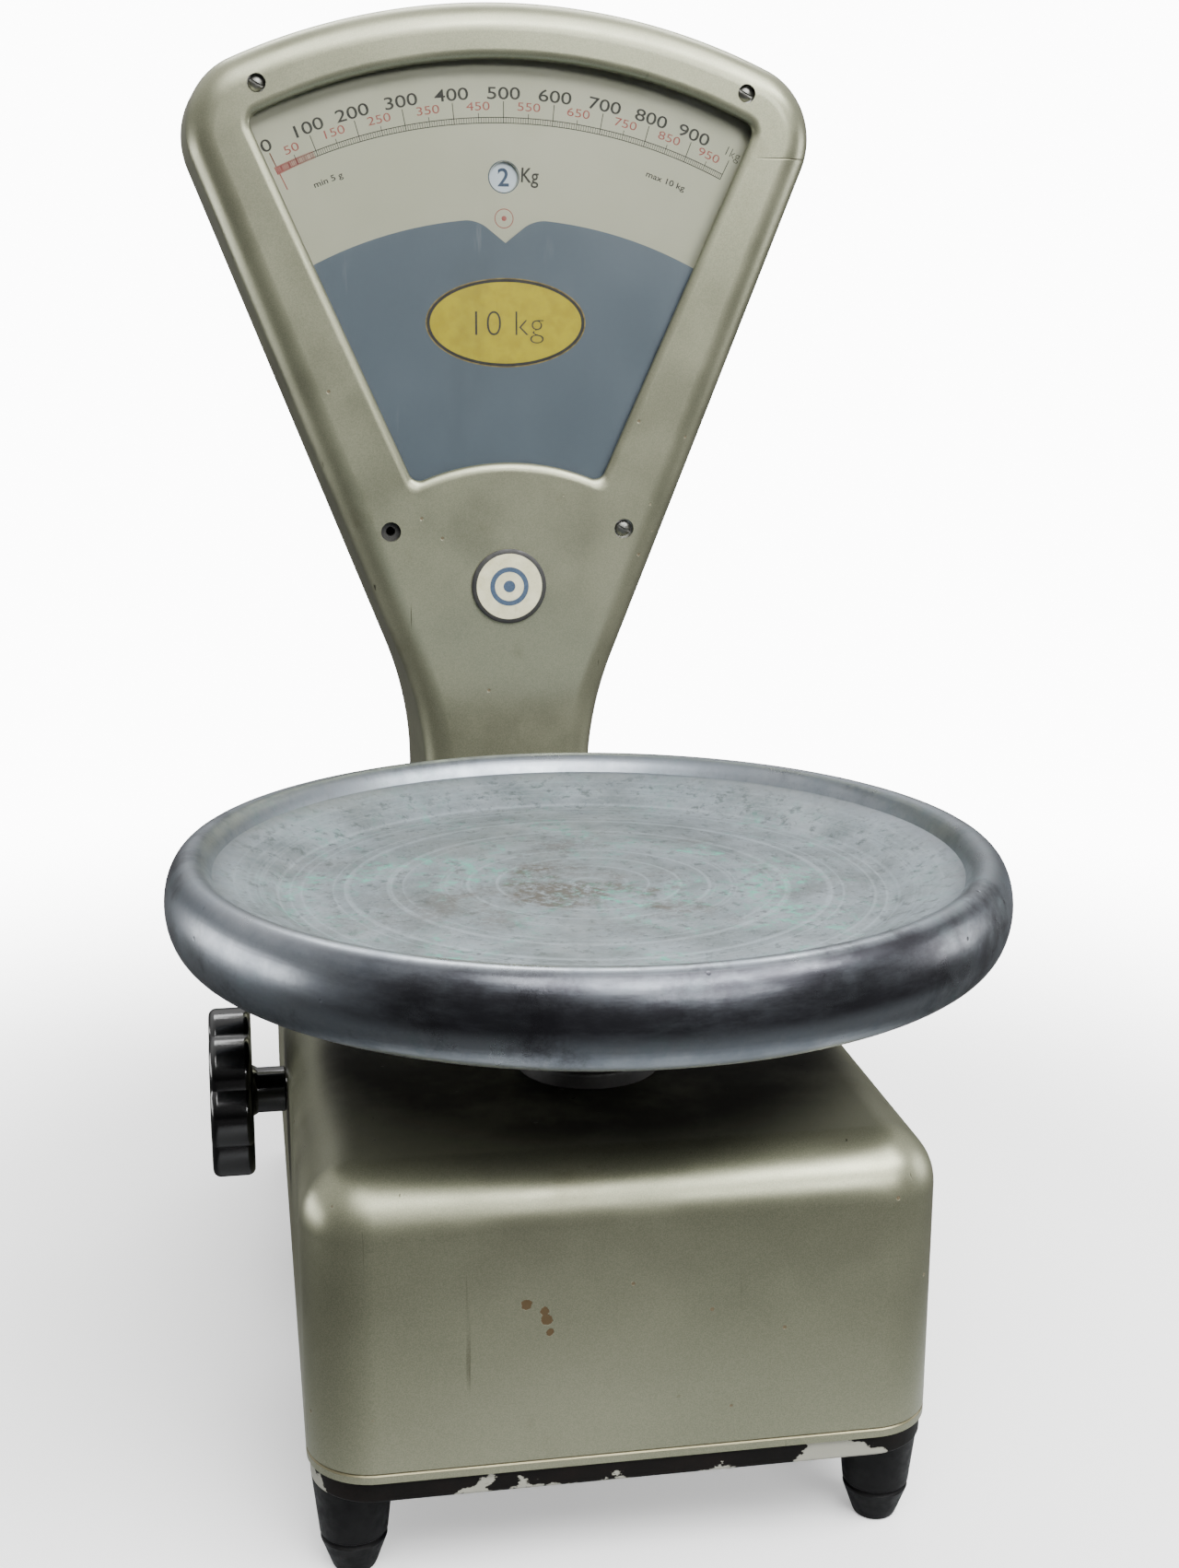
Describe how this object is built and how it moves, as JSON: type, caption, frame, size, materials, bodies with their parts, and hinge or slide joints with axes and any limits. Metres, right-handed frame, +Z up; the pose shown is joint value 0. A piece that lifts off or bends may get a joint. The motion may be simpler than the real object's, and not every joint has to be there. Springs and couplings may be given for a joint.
{
  "type": "counter weighing scale",
  "caption": "Mechanical counter scale: rounded box base on feet, round pan, fan-shaped dial head on a neck, side selector knob; lever, pendulum and rack-driven number disc inside.",
  "frame": {"origin": "on the floor, in the middle of the footprint of the whole scale", "axes": "+Z up; +Y from the pan towards the dial's back; +X to the right as the user reads the dial"},
  "size_m": [0.3, 0.445, 0.5486],
  "materials": {
    "gold_paint": "satin metallic paint",
    "black_iron": "black paint, chipped",
    "rubber": "matte",
    "cast_aluminium": "worn",
    "steel": "brushed",
    "iron": "cast",
    "brass": "satin",
    "bakelite": "gloss",
    "glass": "clear",
    "mask_paint": "satin",
    "chart_card": "matte",
    "badge_enamel": "gloss",
    "black_paint": "matte"
  },
  "bodies": {
    "frame": {"base_casting": "black_iron", "base_cover": "gold_paint", "stem_collar": "gold_paint", "foot_front_left": "rubber", "foot_front_right": "rubber", "foot_rear_left": "rubber", "foot_rear_right": "rubber", "fan_housing": "gold_paint", "fan_back_cover": "gold_paint", "window_glass": "glass", "dial_mask": "mask_paint", "chart_plate": "chart_card", "badge_disc": "badge_enamel", "case_post_top_left": "steel", "case_post_top_right": "steel", "case_post_lower_left": "steel", "case_post_lower_right": "steel", "screw_top_left": "steel", "screw_top_right": "steel", "screw_lower_right": "steel", "fulcrum_cheek_left": "iron", "fulcrum_cheek_right": "iron", "check_pin_rear": "steel", "dashpot_cup": "brass", "lever_stop": "rubber", "knob_bush": "brass", "shaft_stand": "iron", "gear_portal": "iron", "rear_stand": "iron", "rack_guide": "iron", "pendulum_bracket": "iron", "number_disc_bush": "brass", "number_rack_guide": "iron"},
    "carrier": {"pan_spider": "iron", "stem": "steel", "stirrup": "iron", "dash_piston": "brass", "check_pin_front": "steel"},
    "pan": {"pan": "cast_aluminium"},
    "lever": {"main_lever": "iron", "fulcrum_knife": "steel", "load_knife": "steel", "link_pin": "steel", "counterweight": "iron"},
    "poise": {"poise": "brass"},
    "check_link": {"check_link": "iron"},
    "draft_link": {"draft_link": "steel"},
    "pendulum": {"pendulum_arbor": "steel", "pendulum_bob": "brass", "crank": "steel", "pointer": "black_paint"},
    "knob": {"knob": "bakelite", "selector_shaft": "steel"},
    "lay_shaft": {"lay_shaft": "steel"},
    "poise_rack": {"poise_rack": "brass"},
    "number_rack": {"number_rack": "brass"},
    "number_disc": {"number_disc": "chart_card", "number_arbor": "steel"}
  },
  "joints": [
    {"name": "lever_tilt", "type": "hinge", "parent": "frame", "child": "lever", "pos_m": [0, -0.0275, 0.0643], "axis": [1, 0, 0], "range_deg": [0, 6.18]},
    {"name": "carrier_sink", "type": "slide", "parent": "frame", "child": "carrier", "axis": [0, 0, -1], "range_m": [0, 0.00485]},
    {"name": "pan_lift", "type": "slide", "parent": "carrier", "child": "pan", "axis": [0, 0, 1], "range_m": [0, 0.03]},
    {"name": "check_tilt", "type": "hinge", "parent": "frame", "child": "check_link", "pos_m": [0, -0.0275, 0.1053], "axis": [1, 0, 0], "range_deg": [0, 6.18]},
    {"name": "draft_rise", "type": "slide", "parent": "frame", "child": "draft_link", "axis": [0, 0, 1], "range_m": [0, 0.021]},
    {"name": "pendulum_swing", "type": "hinge", "parent": "frame", "child": "pendulum", "pos_m": [0, 0.1375, 0.2741], "axis": [0, 1, 0], "range_deg": [0, 57.03]},
    {"name": "knob_turn", "type": "hinge", "parent": "frame", "child": "knob", "pos_m": [0, 0.0075, 0.115], "axis": [1, 0, 0], "range_deg": [-72, 252]},
    {"name": "lay_turn", "type": "hinge", "parent": "frame", "child": "lay_shaft", "pos_m": [0, 0.0075, 0.115], "axis": [0, 1, 0], "range_deg": [-72.04, 252.13]},
    {"name": "poise_rack_slide", "type": "slide", "parent": "frame", "child": "poise_rack", "axis": [0, 1, 0], "range_m": [-0.01257, 0.044]},
    {"name": "poise_slide", "type": "slide", "parent": "lever", "child": "poise", "axis": [0, 1, 0], "range_m": [-0.01257, 0.044]},
    {"name": "number_rack_slide", "type": "slide", "parent": "frame", "child": "number_rack", "axis": [0, 0, -1], "range_m": [-0.01006, 0.0352]},
    {"name": "number_turn", "type": "hinge", "parent": "frame", "child": "number_disc", "pos_m": [0, 0.1375, 0.4444], "axis": [0, 1, 0], "range_deg": [-72.04, 252.13]}
  ],
  "couplings": [
    {"joint": "carrier_sink", "follows": "lever_tilt", "m_per_rad": 0.044913},
    {"joint": "check_tilt", "follows": "lever_tilt", "ratio": 1},
    {"joint": "draft_rise", "follows": "lever_tilt", "m_per_rad": 0.19462},
    {"joint": "pendulum_swing", "follows": "lever_tilt", "ratio": 9.2221},
    {"joint": "lay_turn", "follows": "knob_turn", "ratio": 1},
    {"joint": "poise_rack_slide", "follows": "knob_turn", "m_per_rad": 0.01},
    {"joint": "poise_slide", "follows": "knob_turn", "m_per_rad": 0.01},
    {"joint": "number_rack_slide", "follows": "knob_turn", "m_per_rad": 0.008},
    {"joint": "number_turn", "follows": "knob_turn", "ratio": 1}
  ]
}
